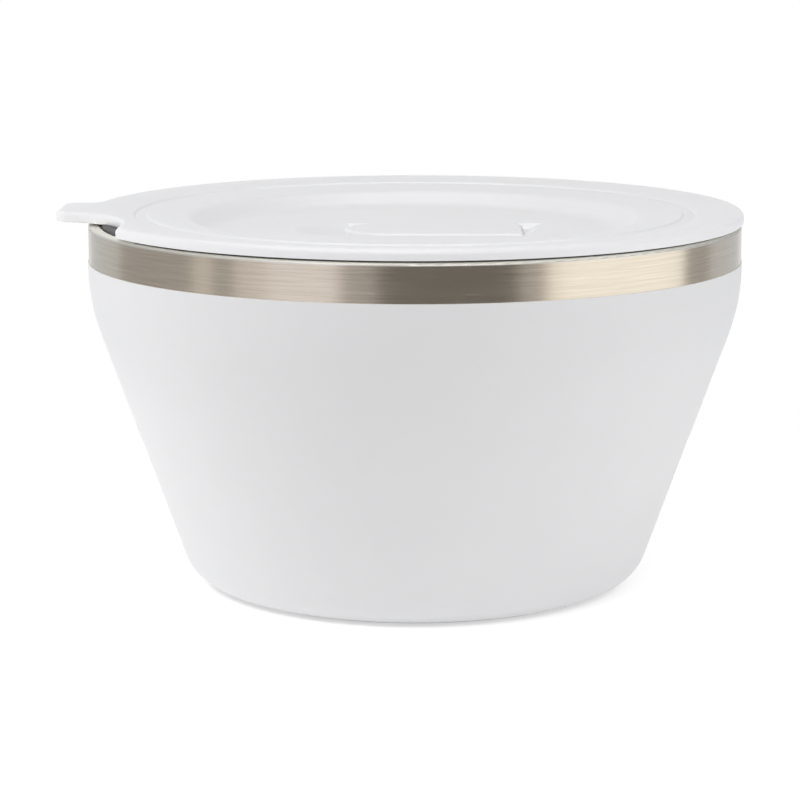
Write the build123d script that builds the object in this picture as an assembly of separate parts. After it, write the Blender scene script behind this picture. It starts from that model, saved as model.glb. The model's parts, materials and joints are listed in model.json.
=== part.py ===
from build123d import *
import os
from math import hypot

# Insulated bowl with a lift-off lid. Millimetres, +Z up, origin on the axis at the base plane.
# The pull tab points along -X.

# Bowl, outside
RIM_R = 82.5
LIP_Z = 91.6
BAND_H = 9.2
BASE_CORNER_R = 57.0
SHOULDER_DROP = 19.19
BASE_ROUND = 10.5
SHOULDER_ROUND = 50.0
COAT_T = 0.2
COAT_END_Z = 1.0

# Outer shell and the recess under its base
SHELL_T = 0.6
RECESS_R = 41.0
RECESS_H = 2.0
DIMPLE_R = 7.0
DIMPLE_H = 1.4
PORT_R = 1.0
BASE_DISC_T = 0.5
BASE_DISC_CLEAR = 0.3
SEAL_CLEAR = 1.5

# Inner liner and its turned lip
LINER_T = 0.7
LIP_W = 3.0
LIP_ROUND = 0.55
WALL_GAP = 4.0
FLOOR_GAP = 4.7
LINER_BASE_ROUND = 14.0
LINER_SHOULDER_ROUND = 45.0

# Getter in the vacuum space
GETTER_X = 22.0
GETTER_R = 5.0
GETTER_H = 1.8
CLIP_T = 0.4
CLIP_FLANGE = 2.0

# Lid flange, tab and the straight cut beside the tab
LID_OVERHANG = 0.3
SHADOW_GAP = 0.55
FLANGE_T = 2.65
FLANGE_ROUND = 1.3
FLANGE_UNDER_ROUND = 0.4
TAB_REACH = 7.6
TAB_FAR_Y = 12.6
TAB_NEAR_TIP_Y = 8.3
TAB_NEAR_ROOT_Y = 15.0
TAB_FAR_CORNER = 4.0
TAB_NEAR_CORNER = 6.0
TAB_FILLET = 4.0
CUT_INSET = 11.5
CUT_FILLET = 21.0
CUT_END_ROUND = 2.0

# Lid top: crown, ring groove and dish, with depths below the crown
CROWN_W = 3.3
GROOVE_EDGE_DROP = 0.8
GROOVE_INSET = 11.8
GROOVE_W = 3.7
GROOVE_DEPTH = 0.45
GROOVE_WALL_W = 0.55
GROOVE_ROUND = 0.3
DISH_R = 57.0
DISH_EDGE_DROP = 1.7
DISH_WALL_W = 5.5
DISH_DEPTH = 5.55
DISH_EDGE_ROUND = 4.0
DISH_FLOOR_ROUND = 6.0

# Lid underside and gasket, whose leaf lies on the lip and stops short of the tab
LID_WALL = 2.0
PLUG_WALL = 2.0
LEDGE_T = 1.8
LEDGE_CLEAR = 1.0
GASKET_DEPTH = 4.0
GASKET_W = 3.6
GASKET_CLEAR = 0.3
GASKET_RIB_H = 1.1
GASKET_RIB = 1.3
LEAF_SETBACK = 1.8
LEAF_END_CLEAR = 5.3

# Vent flap, its recess and the finger scoop
FLAP_TIP_X = -18.0
FLAP_END_X = 27.6
FLAP_W = 23.8
FLAP_T = 2.4
FLAP_PROUD = 0.4
FLAP_ROUND = 1.0
FLAP_GAP = 0.5
RECESS_BEVEL = 0.5
RECESS_END_SLANT = 4.2
SURROUND_DEPTH = 1.3
BEVEL_ANGLE = 45.0
RAMP_L = 2.8
RECESS_DEPTH = 3.8
RECESS_FLOOR_T = 1.8
RECESS_WALL = 2.4
SCOOP_X = -30.5
SCOOP_DEPTH = 2.9
KNUCKLE_R = 2.0
KNUCKLE_CLEAR = 0.12
PIVOT_R = 0.95
PIVOT_L = 1.5
PIVOT_CLEAR = 0.06
PIVOT_END_CLEAR = 0.2

# Steam vent and its plug
VENT_X = 4.0
VENT_R = 3.6
PLUG_DISC_R = 5.6
PLUG_STEM_R = 2.2
PLUG_STEM_L = 1.2
PLUG_NUB_CLEAR = 0.5
PLUG_NUB_L = 1.0

# How far cutting solids run past what they cut
PAST = 3.0

# Heights and radii that several pieces share
PAINT_Z = LIP_Z - BAND_H
WALL_SLOPE = (RIM_R - BASE_CORNER_R) / (LIP_Z - SHOULDER_DROP)
STEEL_R = RIM_R - COAT_T
LIP_IN_R = STEEL_R - LIP_W
LIP_UNDER_Z = LIP_Z - LINER_T
PANEL_Z = RECESS_H + SHELL_T
LINER_FLOOR_Z = PANEL_Z + FLOOR_GAP + LINER_T
LID_R = RIM_R + LID_OVERHANG
CUT_X = LID_R - CUT_INSET
GROOVE_R = LID_R - GROOVE_INSET
LEAF_END_X = CUT_X - LEAF_END_CLEAR
FLANGE_Z = LIP_Z + SHADOW_GAP
CROWN_Z = FLANGE_Z + FLANGE_T
GASKET_R = LIP_IN_R - GASKET_CLEAR
GASKET_IN_R = GASKET_R - GASKET_W
GASKET_Z = LIP_Z - GASKET_DEPTH
LEDGE_R = LIP_IN_R - LEDGE_CLEAR
LEDGE_Z = GASKET_Z - LEDGE_T
DISH_Z = CROWN_Z - DISH_DEPTH
FLAP_TOP_Z = DISH_Z + FLAP_PROUD
FLAP_UNDER_Z = FLAP_TOP_Z - FLAP_T
RECESS_Z = DISH_Z - RECESS_DEPTH
RECESS_HALF = FLAP_W / 2 + FLAP_GAP
SCOOP_R = RECESS_HALF + RECESS_BEVEL
SURROUND_END_X = FLAP_END_X + FLAP_GAP + RECESS_BEVEL
BOX_END_X = FLAP_END_X + FLAP_GAP + RECESS_WALL
HINGE_X = FLAP_END_X - KNUCKLE_R
HINGE_Z = FLAP_TOP_Z - KNUCKLE_R


def section(corners):
    """Face in the XZ plane from (radius, height, rounding) corners."""
    points = [(r, z) for r, z, _ in corners]
    rounds = [rounding for _, _, rounding in corners]
    return Plane.XZ * make_face(FilletPolyline(*points, radius=rounds, close=True))


def turned(corners):
    """Solid turned about the axis from (radius, height, rounding) corners."""
    return revolve(section(corners), Axis.Z)


def disc(radius, low, high, x=0.0):
    """Upright cylinder between two heights."""
    return Pos(x, 0, low) * extrude(Circle(radius), high - low)


def ring(outer, inner, low, high, x=0.0):
    """Upright tube between two heights."""
    return disc(outer, low, high, x) - disc(inner, low - PAST, high + PAST, x)


def flared(inset, floor, rim, base_round, shoulder_round, top):
    """Solid bowl form whose sloping wall lies a set distance inside the coat's face."""
    foot = BASE_CORNER_R - inset * hypot(1, WALL_SLOPE)
    shoulder_z = (rim - foot) / WALL_SLOPE
    return turned(
        [
            (0, floor, 0),
            (foot + WALL_SLOPE * floor, floor, base_round),
            (rim, shoulder_z, shoulder_round),
            (rim, top, 0),
            (0, top, 0),
        ]
    )


def coat_form(top):
    """Outside of the coat."""
    return flared(0, 0, RIM_R, BASE_ROUND, SHOULDER_ROUND, top)


def steel_form(top):
    """Outside of the steel shell."""
    return flared(COAT_T, 0, STEEL_R, BASE_ROUND - COAT_T, SHOULDER_ROUND - COAT_T, top)


def shell_inside(top):
    """Inside of the steel shell, before the base recess."""
    depth = COAT_T + SHELL_T
    rim = STEEL_R - SHELL_T
    return flared(depth, SHELL_T, rim, BASE_ROUND - depth, SHOULDER_ROUND - depth, top)


def liner_form(thickness, top):
    """Liner's inside grown outward by a thickness."""
    inset = COAT_T + SHELL_T + WALL_GAP + LINER_T - thickness
    floor = LINER_FLOOR_Z - thickness
    base_round = LINER_BASE_ROUND + thickness
    shoulder_round = LINER_SHOULDER_ROUND + thickness
    return flared(inset, floor, LIP_IN_R + thickness, base_round, shoulder_round, top)


def base_hollow(wall):
    """Hollow under the base, with the dimple around the evacuation port."""
    recess = disc(RECESS_R + wall, -PAST, RECESS_H + wall)
    dimple = disc(DIMPLE_R + wall, -PAST, RECESS_H + DIMPLE_H + wall)
    return recess + dimple


def make_outer_shell():
    outside = steel_form(LIP_UNDER_Z) - base_hollow(0)
    inside = shell_inside(LIP_UNDER_Z + PAST) - base_hollow(SHELL_T)
    port = disc(PORT_R, 0, PANEL_Z + DIMPLE_H + PAST)
    return outside - inside - port


def make_powder_coat():
    coat = coat_form(LIP_Z) - steel_form(LIP_Z + PAST)
    bare_band = disc(LID_R, PAINT_Z, LIP_Z + PAST)
    return coat - bare_band - disc(LID_R, -PAST, COAT_END_Z)


def make_inner_liner():
    wall = liner_form(LINER_T, LIP_Z) + disc(STEEL_R, LIP_UNDER_Z, LIP_Z)
    liner = wall - liner_form(0, LIP_Z + PAST)
    lip_edges = liner.edges().filter_by(GeomType.CIRCLE).group_by(Axis.Z)[-1]
    return fillet(lip_edges, LIP_ROUND)


def make_base_disc():
    return disc(RECESS_R - BASE_DISC_CLEAR, RECESS_H - BASE_DISC_T, RECESS_H)


def make_vacuum_seal():
    bead = disc(DIMPLE_R - SEAL_CLEAR, RECESS_H, RECESS_H + DIMPLE_H)
    return bead + disc(PORT_R, RECESS_H, RECESS_H + DIMPLE_H + SHELL_T)


def make_getter_clip():
    top = LINER_FLOOR_Z - LINER_T
    flange = disc(GETTER_R + CLIP_T + CLIP_FLANGE, top - CLIP_T, top, GETTER_X)
    wall = ring(GETTER_R + CLIP_T, GETTER_R, top - CLIP_T - GETTER_H, top - CLIP_T, GETTER_X)
    return flange + wall


def make_getter():
    top = LINER_FLOOR_Z - LINER_T - CLIP_T
    return disc(GETTER_R, top - GETTER_H, top, GETTER_X)


def lid_outline():
    """Plan of the lid: round flange, pull tab and the straight cut on the tab's near side."""
    tip_x = -LID_R - TAB_REACH
    far_tip = (tip_x, TAB_FAR_Y)
    near_tip = (tip_x, -TAB_NEAR_TIP_Y)
    near_root = (-CUT_X, -TAB_NEAR_ROOT_Y)
    tab_root = [(0, -TAB_NEAR_ROOT_Y), (0, TAB_FAR_Y)]
    tab = make_face(Polyline(*tab_root, far_tip, near_tip, near_root, close=True))
    cut = make_face(Polyline(near_root, near_tip, (tip_x, -LID_R), (-CUT_X, -LID_R), close=True))
    plan = Circle(LID_R) + tab - cut
    far_root = (-((LID_R**2 - TAB_FAR_Y**2) ** 0.5), TAB_FAR_Y)
    cut_end = (-CUT_X, -((LID_R**2 - CUT_X**2) ** 0.5))
    rounded = [
        (far_tip, TAB_FAR_CORNER),
        (near_tip, TAB_NEAR_CORNER),
        (far_root, TAB_FILLET),
        (near_root, CUT_FILLET),
        (cut_end, CUT_END_ROUND),
    ]
    for corner, radius in rounded:
        nearest = plan.vertices().sort_by_distance((*corner, 0))[0]
        plan = fillet(nearest, radius)
    return plan


def lid_top_cut():
    """What is taken away above the lid's crown slope, ring groove and dish."""
    edge_z = CROWN_Z - GROOVE_EDGE_DROP
    groove_z = edge_z - GROOVE_DEPTH
    crown = (LID_R - CROWN_W, CROWN_Z)
    groove_edge = (GROOVE_R, edge_z)
    slope = TangentArc(crown, groove_edge, tangent=(-1, 0))
    inward = [
        (GROOVE_R, edge_z, 0),
        (GROOVE_R - GROOVE_WALL_W, groove_z, GROOVE_ROUND),
        (GROOVE_R - GROOVE_W + GROOVE_WALL_W, groove_z, GROOVE_ROUND),
        (GROOVE_R - GROOVE_W, edge_z, GROOVE_ROUND),
        (DISH_R, CROWN_Z - DISH_EDGE_DROP, DISH_EDGE_ROUND),
        (DISH_R - DISH_WALL_W, DISH_Z, DISH_FLOOR_ROUND),
        (0, DISH_Z, 0),
        (0, CROWN_Z + PAST, 0),
        (LID_R - CROWN_W, CROWN_Z + PAST, 0),
        (*crown, 0),
    ]
    points = [(r, z) for r, z, _ in inward]
    rounds = [rounding for _, _, rounding in inward[1:-1]]
    outline = [slope, FilletPolyline(*points, radius=rounds)]
    return revolve(Plane.XZ * make_face(outline), Axis.Z)


def lid_under_cut():
    """Hollow of the lid's underside, one wall below its top."""
    rise = DISH_DEPTH - DISH_EDGE_DROP
    wall_length = (DISH_WALL_W**2 + rise**2) ** 0.5
    shift = LID_WALL * (wall_length - DISH_WALL_W) / rise
    roof_z = CROWN_Z - DISH_EDGE_DROP - LID_WALL
    bottom_z = RECESS_Z - RECESS_FLOOR_T - PAST
    return turned(
        [
            (0, bottom_z, 0),
            (GASKET_IN_R - PLUG_WALL, bottom_z, 0),
            (GASKET_IN_R - PLUG_WALL, roof_z, 0),
            (DISH_R + shift, roof_z, 0),
            (DISH_R - DISH_WALL_W + shift, DISH_Z - LID_WALL, 0),
            (0, DISH_Z - LID_WALL, 0),
        ]
    )


def tongue_plan(tip_x, half, end_x, slant=0.0):
    """Plan that is round at one end, with straight sides and a straight or slanted other end."""
    centre_x = tip_x + half
    near_end = (end_x, -half)
    far_end = (end_x + slant, half)
    outline = [
        ThreePointArc((centre_x, half), (tip_x, 0), (centre_x, -half)),
        Polyline((centre_x, -half), near_end, far_end, (centre_x, half)),
    ]
    return make_face(outline)


def scoop_cut():
    """Finger scoop: a shallow round hollow under the flap's free end."""
    ball_r = (SCOOP_R**2 + SCOOP_DEPTH**2) / (2 * SCOOP_DEPTH)
    return Pos(SCOOP_X + SCOOP_R, 0, DISH_Z - SCOOP_DEPTH + ball_r) * Sphere(ball_r)


def hinge_ramp():
    """Gentle slope that is left standing between the slanted end of the recess and the flap's knuckle."""
    start = Vector(SURROUND_END_X, -SCOOP_R, DISH_Z)
    along = Vector(RECESS_END_SLANT, 2 * SCOOP_R, 0).normalized()
    inward = Vector(-along.Y, along.X, 0)
    side = Plane(origin=start - along * PAST, x_dir=inward, z_dir=along)
    low = -SURROUND_DEPTH - PAST
    profile = Polyline((0, 0), (RAMP_L, -SURROUND_DEPTH), (RAMP_L, low), (0, low), close=True)
    return extrude(side * make_face(profile), 2 * (SCOOP_R + PAST) + RECESS_END_SLANT)


def surround_cut():
    """Shallow hollow around the flap with sloping walls, which runs out on the hinge ramp."""
    start_x = SCOOP_X + SCOOP_R
    near_edge = [(start_x, -SCOOP_R), (SURROUND_END_X, -SCOOP_R)]
    far_edge = [(SURROUND_END_X + RECESS_END_SLANT, SCOOP_R), (start_x, SCOOP_R)]
    plan = make_face(Polyline(*near_edge, *far_edge, close=True))
    hollow = Pos(0, 0, DISH_Z) * extrude(plan, -SURROUND_DEPTH, taper=BEVEL_ANGLE)
    return hollow - hinge_ramp()


def recess_cut():
    """Everything that is cut for the flap: its pocket, the shallow hollow around it and the scoop."""
    plan = tongue_plan(FLAP_TIP_X - FLAP_GAP, RECESS_HALF, FLAP_END_X + KNUCKLE_CLEAR)
    pocket = Pos(0, 0, RECESS_Z) * extrude(plan, RECESS_DEPTH + PAST)
    return pocket + surround_cut() + scoop_cut()


def pivot(radius, reach):
    """Round bar across the recess on the hinge axis, running a reach into each side wall."""
    half = RECESS_HALF + reach
    return Pos(HINGE_X, half, HINGE_Z) * (Rot(90, 0, 0) * extrude(Circle(radius), 2 * half))


def make_lid_body():
    plan = lid_outline()
    plate = Pos(0, 0, FLANGE_Z) * extrude(plan, FLANGE_T)
    plate = fillet(plate.edges().group_by(Axis.Z)[-1], FLANGE_ROUND)
    plate = fillet(plate.edges().group_by(Axis.Z)[0], FLANGE_UNDER_ROUND)
    plug = disc(LEDGE_R, LEDGE_Z, FLANGE_Z)
    gasket_groove = ring(LEDGE_R + PAST, GASKET_IN_R, GASKET_Z, FLANGE_Z)
    lid = plate + (plug - gasket_groove)
    lid = lid - lid_top_cut() - lid_under_cut()
    box_z = RECESS_Z - RECESS_FLOOR_T
    box_half = RECESS_HALF + RECESS_WALL
    box_plan = tongue_plan(SCOOP_X - RECESS_WALL, box_half, BOX_END_X, RECESS_END_SLANT)
    box = Pos(0, 0, box_z) * extrude(box_plan, DISH_Z - LID_WALL - box_z)
    sockets = pivot(PIVOT_R + PIVOT_CLEAR, PIVOT_L + PIVOT_END_CLEAR)
    vent = disc(VENT_R, box_z - PAST, RECESS_Z + PAST, VENT_X)
    return lid + box - recess_cut() - sockets - vent


def make_lid_gasket():
    body = ring(GASKET_R - GASKET_RIB, GASKET_IN_R, GASKET_Z, FLANGE_Z)
    top_rib = ring(GASKET_R, GASKET_IN_R, LIP_Z - GASKET_RIB_H, FLANGE_Z)
    low_rib = ring(GASKET_R, GASKET_IN_R, GASKET_Z + GASKET_RIB_H, GASKET_Z + 2 * GASKET_RIB_H)
    leaf = ring(LID_R - LEAF_SETBACK, GASKET_IN_R, LIP_Z, FLANGE_Z)
    tab_side = Pos(-LEAF_END_X, 0) * Rectangle(LID_R, 2 * LID_R, align=(Align.MAX, Align.CENTER))
    leaf = leaf - Pos(0, 0, LIP_Z - PAST) * extrude(tab_side, SHADOW_GAP + 2 * PAST)
    return body + top_rib + low_rib + leaf


def make_vent_flap():
    plan = tongue_plan(FLAP_TIP_X, FLAP_W / 2, FLAP_END_X)
    flap = Pos(0, 0, FLAP_UNDER_Z) * extrude(plan, FLAP_T)
    flap = fillet(flap.edges().filter_by(Axis.Y).group_by(Axis.Z)[-1], KNUCKLE_R)
    rim = flap.edges().group_by(Axis.Z)[-1]
    flap = fillet(rim - rim.filter_by(Axis.Y), FLAP_ROUND)
    stem_hole = disc(PLUG_STEM_R, FLAP_UNDER_Z - PAST, FLAP_UNDER_Z + PLUG_STEM_L, VENT_X)
    return flap + pivot(PIVOT_R, PIVOT_L) - stem_hole


def make_vent_plug():
    seat = disc(PLUG_DISC_R, RECESS_Z, FLAP_UNDER_Z, VENT_X)
    stem = disc(PLUG_STEM_R, RECESS_Z, FLAP_UNDER_Z + PLUG_STEM_L, VENT_X)
    nub = disc(VENT_R - PLUG_NUB_CLEAR, RECESS_Z - PLUG_NUB_L, RECESS_Z, VENT_X)
    return seat + stem + nub


pieces = {
    "outer_shell": make_outer_shell(),
    "powder_coat": make_powder_coat(),
    "inner_liner": make_inner_liner(),
    "base_disc": make_base_disc(),
    "vacuum_seal": make_vacuum_seal(),
    "getter_clip": make_getter_clip(),
    "getter": make_getter(),
    "lid_body": make_lid_body(),
    "lid_gasket": make_lid_gasket(),
    "vent_flap": make_vent_flap(),
    "vent_plug": make_vent_plug(),
}

os.makedirs("parts", exist_ok=True)
for name, shape in pieces.items():
    export_step(shape, f"parts/{name}.step")
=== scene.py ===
import json
from math import cos, pi, radians, sin

import bpy
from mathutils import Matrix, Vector


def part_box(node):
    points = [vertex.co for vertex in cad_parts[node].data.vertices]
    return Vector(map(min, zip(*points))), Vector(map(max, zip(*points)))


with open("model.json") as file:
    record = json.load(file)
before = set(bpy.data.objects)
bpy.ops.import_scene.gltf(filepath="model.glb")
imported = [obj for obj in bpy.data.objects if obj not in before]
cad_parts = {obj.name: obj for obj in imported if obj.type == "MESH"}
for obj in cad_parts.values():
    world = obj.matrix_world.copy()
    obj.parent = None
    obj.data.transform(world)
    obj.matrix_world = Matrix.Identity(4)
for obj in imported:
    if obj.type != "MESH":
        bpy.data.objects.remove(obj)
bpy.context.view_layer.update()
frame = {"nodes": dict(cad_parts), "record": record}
scene = bpy.context.scene
scene.view_settings.view_transform = "Standard"

MM = 0.001
WHITE = (1.0, 1.0, 1.0, 1.0)
bowl_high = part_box("outer_shell")[1]

# Steel between its dark and light lines, outside and inside
STEEL = (0.550, 0.480, 0.388), (0.760, 0.673, 0.557)
LINER = (0.640, 0.610, 0.560), (0.750, 0.725, 0.680)

# Brushing: change of the lines around the bowl and per metre across them, and the fine lines' share
FINE_AROUND = 5.0
FINE_ACROSS = 3900.0
BROAD_AROUND = 1.6
BROAD_ACROSS = 1700.0
FINE_SHARE = 0.65
LINE_MARGIN = 0.22

# The steel's bare foot is painted dark grey as a painted contact shadow, and its lip gets a painted
# highlight colour near white and a little more roughness
SHADE_AND_SHEEN_BLEND = 0.2 * MM
FOOT_Z = 1.3 * MM
# Painted shade: the foot's colour is dark grey to stand in for the contact shadow at the base
FOOT_SHADE_DARK = (0.23, 0.23, 0.24)
FOOT_SHADE_LIGHT = (0.37, 0.37, 0.38)
LIP_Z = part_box("inner_liner")[1].z - 0.35 * MM
# Painted highlight: the lip's colour is raised near white to stand in for bright reflections on it
LIP_SHEEN_COLOR = (0.97, 0.95, 0.87, 1.0)
LIP_ROUGHER = 0.30

# Light table: the light that it casts, which leans to the left, and the glow that the eye sees, lower
# near the bowl as a painted shadow around its base
TABLE_R = 2.4 * bowl_high.x
TABLE_CAST = 0.34
TABLE_LEAN = 0.45
# Painted shadow: the seen glow is lowest at the base's radius and rises to full by the far radius
NEAR_R = 50.0 * MM
SHADED_NEAR_GLOW = 0.485
FAR_R = 68.0 * MM
FAR_GLOW = 0.56

# Upright cards: angles in degrees from the camera's side, right positive, then radius, bottom and top in
# metres, and colour. A card with a smaller radius stands in front of the others.
CARDS = [
    ("edge_card", -155, 155, 1.32, -1.0, 0.55, (0.63, 0.66, 0.70)),
    ("surround_card", -120, 120, 1.30, -1.0, 0.55, (0.43, 0.43, 0.44)),
    ("back_card", 155, 205, 1.30, -0.1, 0.60, (0.85, 0.85, 0.86)),
    ("strip_card", -79, -71, 1.20, -1.0, 0.55, (0.74, 0.74, 0.74)),
    ("left_edge_card", -62, -50, 1.20, -1.0, 0.55, (0.76, 0.76, 0.78)),
    ("left_card", -50, -24.5, 1.20, -1.0, 0.55, (0.93, 0.93, 1.00)),
    ("left_fade_card", -24.5, -12, 1.20, -1.0, 0.55, (0.40, 0.40, 0.42)),
    ("front_card", -12, 34, 1.20, -1.0, 0.45, (0.09, 0.09, 0.09)),
    ("right_edge_card", 43.8, 50, 1.20, -1.0, 0.55, (1.19, 1.19, 1.19)),
    ("right_card", 50, 103, 1.20, -1.0, 1.20, (1.31, 1.34, 1.35)),
]
CARD_STEPS = 24

# Overhead card: rise in degrees from the camera's side over the top, radius and half width in metres
CANOPY_START = 42
CANOPY_END = 108
CANOPY_R = 1.25
CANOPY_HALF = 0.7
CANOPY_COLOR = (3.3, 3.3, 3.3)

# Square soft lamps: angle as for the cards, height, distance and side in metres, and radiance
LAMPS = [
    ("lamp_left", -105, 0.06, 1.20, 0.8, 1.95),
    ("lamp_right", 78, 0.15, 1.20, 0.8, 1.75),
    ("lamp_key", -56, 1.02, 0.74, 0.7, 2.60),
    ("lamp_front", -6, 1.10, 0.60, 0.7, 1.10),
]
WORLD_ABOVE = 0.475
WORLD_BELOW = 0.785

# Camera, fitted to the rim, the paint line and the base edge of the photographed bowl
IMAGE_PX = 800
FOCAL_PX = 2627.9
AXIS_PX = 415.0
TARGET_Z = 45.2 * MM
DISTANCE = 675.1 * MM
ELEVATION = 0.1858
SENSOR_MM = 36.0


class Tree:
    """A node tree that is written as calls, most of which return the socket that they make."""

    def __init__(self, tree):
        self.nodes = tree.nodes
        self.links = tree.links
        self.nodes.clear()

    def add(self, kind, inputs=None, **settings):
        node = self.nodes.new(kind)
        for name, value in settings.items():
            setattr(node, name, value)
        self.fill(node, inputs or {})
        return node

    def fill(self, node, inputs):
        """Link or set a node's inputs, which are named by name or number."""
        for name, value in inputs.items():
            if isinstance(value, bpy.types.NodeSocket):
                self.links.new(value, node.inputs[name])
            else:
                node.inputs[name].default_value = value

    def math(self, operation, a, b):
        return self.add("ShaderNodeMath", {0: a, 1: b}, operation=operation).outputs[0]

    def vector(self, operation, inputs):
        return self.add("ShaderNodeVectorMath", inputs, operation=operation).outputs

    def place(self):
        """Position on the part, in metres."""
        return self.add("ShaderNodeTexCoord").outputs["Object"]

    def part_of(self, vector, axis):
        return self.add("ShaderNodeSeparateXYZ", {0: vector}).outputs[axis]

    def span(self, value, low, high, start=0.0, end=1.0):
        """A value from start to end spread over a new range."""
        inputs = {"Value": value, "From Min": start, "From Max": end, "To Min": low, "To Max": high}
        return self.add("ShaderNodeMapRange", inputs).outputs[0]

    def noise(self, vector, scale, detail=3.0, roughness=0.55):
        inputs = {"Vector": vector, "Scale": scale, "Detail": detail, "Roughness": roughness}
        return self.add("ShaderNodeTexNoise", inputs).outputs["Fac"]

    def blend(self, factor, dark, light, margin=0.0):
        """A colour between two, over the values that lie a margin inside 0 to 1."""
        ramp = self.add("ShaderNodeValToRGB", {"Fac": factor})
        first, last = ramp.color_ramp.elements
        first.position = margin
        first.color = (*dark, 1.0)
        last.position = 1.0 - margin
        last.color = (*light, 1.0)
        return ramp.outputs["Color"]

    def mix(self, factor, first, second):
        """Two colours mixed by a 0 to 1 value. The colour sockets have numbers of their own."""
        return self.add("ShaderNodeMix", {0: factor, 6: first, 7: second}, data_type="RGBA").outputs[2]

    def bump(self, height, strength, distance, over=None):
        """A bumped normal, which may lie over another one."""
        inputs = {"Height": height, "Strength": strength, "Distance": distance}
        if over is not None:
            inputs["Normal"] = over
        return self.add("ShaderNodeBump", inputs).outputs["Normal"]

    def above(self, height):
        """1 above a height on the part and 0 below it, with a narrow blend."""
        level = self.part_of(self.place(), "Z")
        return self.span(level, 0.0, 1.0, height - SHADE_AND_SHEEN_BLEND / 2, height + SHADE_AND_SHEEN_BLEND / 2)

    def seen(self):
        """1 for the eye and for reflections, 0 for the light that falls on things."""
        path = self.add("ShaderNodeLightPath").outputs
        mirrored = self.math("MAXIMUM", path["Is Glossy Ray"], path["Is Transmission Ray"])
        return self.math("MAXIMUM", path["Is Camera Ray"], mirrored)


def new_tree(name):
    material = bpy.data.materials.new(name)
    material.use_nodes = True
    return material, Tree(material.node_tree)


def new_finish(name):
    """A material with one shader, whose inputs are still to be filled."""
    material, tree = new_tree(name)
    shader = tree.add("ShaderNodeBsdfPrincipled")
    tree.add("ShaderNodeOutputMaterial", {"Surface": shader.outputs["BSDF"]})
    return material, tree, shader


# Materials


def brushed_lines(tree, around, across, detail, roughness):
    """Noise that changes slowly around the axis and quickly across the brushing."""
    here = tree.place()
    flat = tree.vector("MULTIPLY", {0: here, 1: (1.0, 1.0, 0.0)})[0]
    radius = tree.vector("LENGTH", {0: flat})["Value"]
    line = tree.math("MULTIPLY", tree.math("ADD", radius, tree.part_of(here, "Z")), across)
    facing = tree.vector("NORMALIZE", {0: flat})[0]
    turn = tree.vector("SCALE", {0: facing, "Scale": around})[0]
    lift = tree.add("ShaderNodeCombineXYZ", {"Z": line}).outputs[0]
    return tree.noise(tree.vector("ADD", {0: turn, 1: lift})[0], 1.0, detail, roughness)


def brushed_steel(name, dark, light, rough_low, rough_high):
    """Steel brushed around the axis, with a painted shade on the foot and a painted highlight on a
    slightly rougher lip.
    """
    material, tree, shader = new_finish(name)
    fine = brushed_lines(tree, FINE_AROUND, FINE_ACROSS, detail=4.0, roughness=0.7)
    broad = brushed_lines(tree, BROAD_AROUND, BROAD_ACROSS, detail=3.0, roughness=0.6)
    fine_part = tree.math("MULTIPLY", fine, FINE_SHARE)
    lines = tree.math("ADD", fine_part, tree.math("MULTIPLY", broad, 1.0 - FINE_SHARE))
    # Painted contact shadow: the foot's dark grey colour
    foot = tree.blend(lines, FOOT_SHADE_DARK, FOOT_SHADE_LIGHT, LINE_MARGIN)
    wall = tree.mix(tree.above(FOOT_Z), foot, tree.blend(lines, dark, light, LINE_MARGIN))
    lip = tree.above(LIP_Z)
    satin = tree.math("MULTIPLY", lip, LIP_ROUGHER)
    tree.fill(shader, {
        # Painted highlight: the lip's near-white colour
        "Base Color": tree.mix(lip, wall, LIP_SHEEN_COLOR),
        "Metallic": 1.0,
        "Roughness": tree.math("ADD", tree.span(lines, rough_low, rough_high), satin),
        "Anisotropic": 0.82,
        "Anisotropic Rotation": 0.25,
        "Tangent": tree.add("ShaderNodeTangent", direction_type="RADIAL", axis="Z").outputs[0],
        "Normal": tree.bump(lines, strength=0.20, distance=0.02 * MM),
    })
    return material


def white_coat():
    """Matte coat with the fine, even unevenness of baked powder."""
    material, tree, shader = new_finish("white_coat")
    here = tree.place()
    grain = tree.noise(here, scale=2600.0, detail=2.0)
    peel = tree.noise(here, scale=620.0, detail=2.0)
    cloud = tree.noise(here, scale=45.0)
    fine = tree.bump(grain, strength=0.10, distance=0.05 * MM)
    tree.fill(shader, {
        "Base Color": tree.blend(cloud, (0.775, 0.775, 0.785), (0.805, 0.805, 0.815)),
        "Roughness": tree.span(grain, 0.48, 0.62),
        "Specular IOR Level": 0.35,
        "Normal": tree.bump(peel, strength=0.06, distance=0.12 * MM, over=fine),
    })
    return material


def lid_plastic():
    """Smooth satin moulded plastic that lets a little light through."""
    material, tree, shader = new_finish("lid_plastic")
    here = tree.place()
    grain = tree.noise(here, scale=3800.0, detail=2.0)
    flow = tree.noise(here, scale=30.0)
    tree.fill(shader, {
        "Base Color": tree.blend(flow, (0.850, 0.850, 0.865), (0.875, 0.875, 0.890)),
        "Roughness": tree.span(grain, 0.36, 0.48),
        "Subsurface Weight": 0.45,
        "Subsurface Radius": (1.0, 1.0, 1.0),
        "Subsurface Scale": 2.0 * MM,
        "Normal": tree.bump(grain, strength=0.05, distance=0.03 * MM),
    })
    return material


def grey_silicone():
    """Dark grey silicone, matte, with a dusty bloom."""
    material, tree, shader = new_finish("grey_silicone")
    here = tree.place()
    grain = tree.noise(here, scale=2400.0)
    bloom = tree.noise(here, scale=160.0, detail=4.0)
    tree.fill(shader, {
        "Base Color": tree.blend(bloom, (0.085, 0.085, 0.088), (0.115, 0.115, 0.119)),
        "Roughness": tree.span(grain, 0.70, 0.88),
        "Specular IOR Level": 0.25,
        "Normal": tree.bump(grain, strength=0.10, distance=0.04 * MM),
    })
    return material


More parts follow.
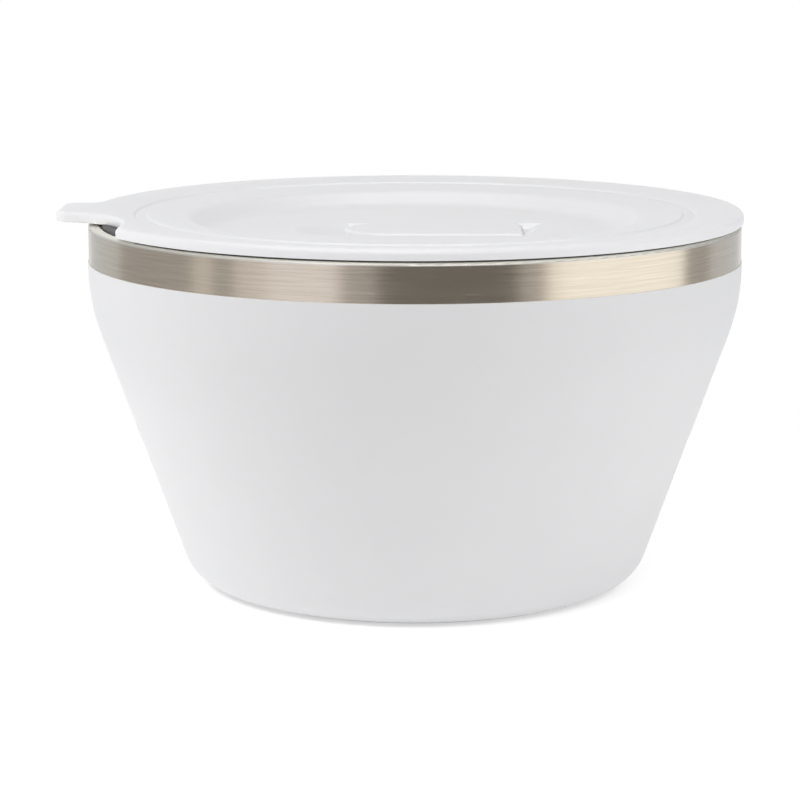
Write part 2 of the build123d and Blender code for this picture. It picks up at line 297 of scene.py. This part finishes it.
def seal_glass():
    """Fused glass bead with small bubbles."""
    material, tree, shader = new_finish("seal_glass")
    bubble = tree.noise(tree.place(), scale=1500.0)
    tree.fill(shader, {
        "Base Color": tree.blend(bubble, (0.22, 0.27, 0.27), (0.38, 0.43, 0.43)),
        "Roughness": tree.span(bubble, 0.08, 0.25),
        "Normal": tree.bump(bubble, strength=0.15, distance=0.06 * MM),
    })
    return material


def getter_metal():
    """Sintered grey pellet."""
    material, tree, shader = new_finish("getter_metal")
    grain = tree.noise(tree.place(), scale=5200.0, detail=4.0, roughness=0.7)
    tree.fill(shader, {
        "Base Color": tree.blend(grain, (0.20, 0.20, 0.21), (0.38, 0.38, 0.39)),
        "Metallic": 0.8,
        "Roughness": tree.span(grain, 0.55, 0.80),
        "Normal": tree.bump(grain, strength=0.4, distance=0.05 * MM),
    })
    return material


finishes = {
    "brushed_steel": brushed_steel("brushed_steel", *STEEL, rough_low=0.18, rough_high=0.32),
    "liner_steel": brushed_steel("liner_steel", *LINER, rough_low=0.30, rough_high=0.44),
    "white_coat": white_coat(),
    "lid_plastic": lid_plastic(),
    "grey_silicone": grey_silicone(),
    "seal_glass": seal_glass(),
    "getter_metal": getter_metal(),
}
for part in frame["record"]["subparts"]:
    node = frame["nodes"][part["node"]]
    node.material_slots[0].material = finishes[part["material_slot"]]


# Stage: a round light table, cards that only the reflections see, soft lamps and even light all round


def make_floor():
    """Pale light table that casts more light at the left, and looks white where no shadow falls, with a
    painted shadow near the bowl, where its seen glow is lower.
    """
    bpy.ops.mesh.primitive_circle_add(vertices=96, radius=TABLE_R, fill_type="NGON")
    floor = bpy.context.object
    floor.name = "floor"
    material, tree = new_tree("floor")
    here = tree.place()
    sheet = tree.blend(tree.noise(here, scale=60.0), (0.74, 0.74, 0.74), (0.76, 0.76, 0.76))
    matte = tree.add("ShaderNodeBsdfDiffuse", {"Color": sheet})
    loss = tree.math("MULTIPLY", tree.part_of(here, "X"), TABLE_LEAN)
    cast = tree.math("SUBTRACT", TABLE_CAST, loss)
    away = tree.vector("LENGTH", {0: here})["Value"]
    # The seen glow falls towards the bowl: a painted shadow around its base
    shown = tree.span(away, SHADED_NEAR_GLOW, FAR_GLOW, NEAR_R, FAR_R)
    strength = tree.add("ShaderNodeMix", {0: tree.seen(), 2: cast, 3: shown}).outputs[0]
    lit = tree.add("ShaderNodeEmission", {"Strength": strength})
    both = tree.add("ShaderNodeAddShader", {0: matte.outputs[0], 1: lit.outputs[0]})
    tree.add("ShaderNodeOutputMaterial", {"Surface": both.outputs[0]})
    floor.data.materials.append(material)


def reflector(name, corners, color):
    """Strip of light between pairs of corners, which only the reflections see."""
    faces = [(i, i + 2, i + 3, i + 1) for i in range(0, len(corners) - 2, 2)]
    mesh = bpy.data.meshes.new(name)
    mesh.from_pydata(corners, [], faces)
    panel = bpy.data.objects.new(name, mesh)
    scene.collection.objects.link(panel)
    material, tree = new_tree(name)
    glow = tree.add("ShaderNodeEmission", {"Color": (*color, 1.0), "Strength": 1.0})
    tree.add("ShaderNodeOutputMaterial", {"Surface": glow.outputs[0]})
    mesh.materials.append(material)
    panel.visible_camera = False
    panel.visible_diffuse = False
    panel.visible_shadow = False


def angles(start, end):
    """Even steps from start to end in degrees, as radians."""
    return [radians(start + (end - start) * i / CARD_STEPS) for i in range(CARD_STEPS + 1)]


def card(name, start, end, radius, low, high, color):
    """Upright curved card between two angles."""
    posts = [(radius * sin(turn), -radius * cos(turn)) for turn in angles(start, end)]
    reflector(name, [(x, y, z) for x, y in posts for z in (low, high)], color)


def canopy(name):
    """Curved card overhead, from the camera's side over the top."""
    rises = angles(CANOPY_START, CANOPY_END)
    bars = [(-CANOPY_R * cos(rise), CANOPY_R * sin(rise)) for rise in rises]
    reflector(name, [(x, y, z) for y, z in bars for x in (-CANOPY_HALF, CANOPY_HALF)], CANOPY_COLOR)


def softbox(name, turn, height, distance, side, radiance):
    """Square area lamp that faces the bowl and stays out of the reflections."""
    data = bpy.data.lights.new(name, "AREA")
    data.shape = "SQUARE"
    data.size = side
    data.energy = radiance * pi * side * side
    lamp = bpy.data.objects.new(name, data)
    scene.collection.objects.link(lamp)
    lamp.location = (distance * sin(radians(turn)), -distance * cos(radians(turn)), height)
    aim = Vector((0.0, 0.0, bowl_high.z / 2)) - lamp.location
    lamp.rotation_euler = aim.to_track_quat("-Z", "Y").to_euler()
    lamp.visible_camera = False
    lamp.visible_glossy = False


def make_world():
    """One level of light from above and one from below. The eye and the reflections see white."""
    world = bpy.data.worlds.new("studio")
    scene.world = world
    world.use_nodes = True
    tree = Tree(world.node_tree)
    direction = tree.add("ShaderNodeTexCoord").outputs["Generated"]
    upper = tree.math("GREATER_THAN", tree.part_of(direction, "Z"), 0.0)
    level = tree.span(upper, WORLD_BELOW, WORLD_ABOVE)
    soft = tree.add("ShaderNodeBackground", {"Color": WHITE, "Strength": level})
    white = tree.add("ShaderNodeBackground", {"Color": WHITE, "Strength": 1.0})
    sky = tree.add("ShaderNodeMixShader", {0: tree.seen(), 1: soft.outputs[0], 2: white.outputs[0]})
    tree.add("ShaderNodeOutputWorld", {"Surface": sky.outputs[0]})


make_floor()
for row in CARDS:
    card(*row)
canopy("overhead_card")
for row in LAMPS:
    softbox(*row)
make_world()

camera_data = bpy.data.cameras.new("camera")
camera_data.sensor_width = SENSOR_MM
camera_data.lens = FOCAL_PX * SENSOR_MM / IMAGE_PX
camera_data.shift_x = (IMAGE_PX / 2 - AXIS_PX) / IMAGE_PX
camera = bpy.data.objects.new("camera", camera_data)
scene.collection.objects.link(camera)
camera.location = (0.0, -DISTANCE * cos(ELEVATION), TARGET_Z + DISTANCE * sin(ELEVATION))
camera.rotation_euler = (pi / 2 - ELEVATION, 0.0, 0.0)
scene.camera = camera
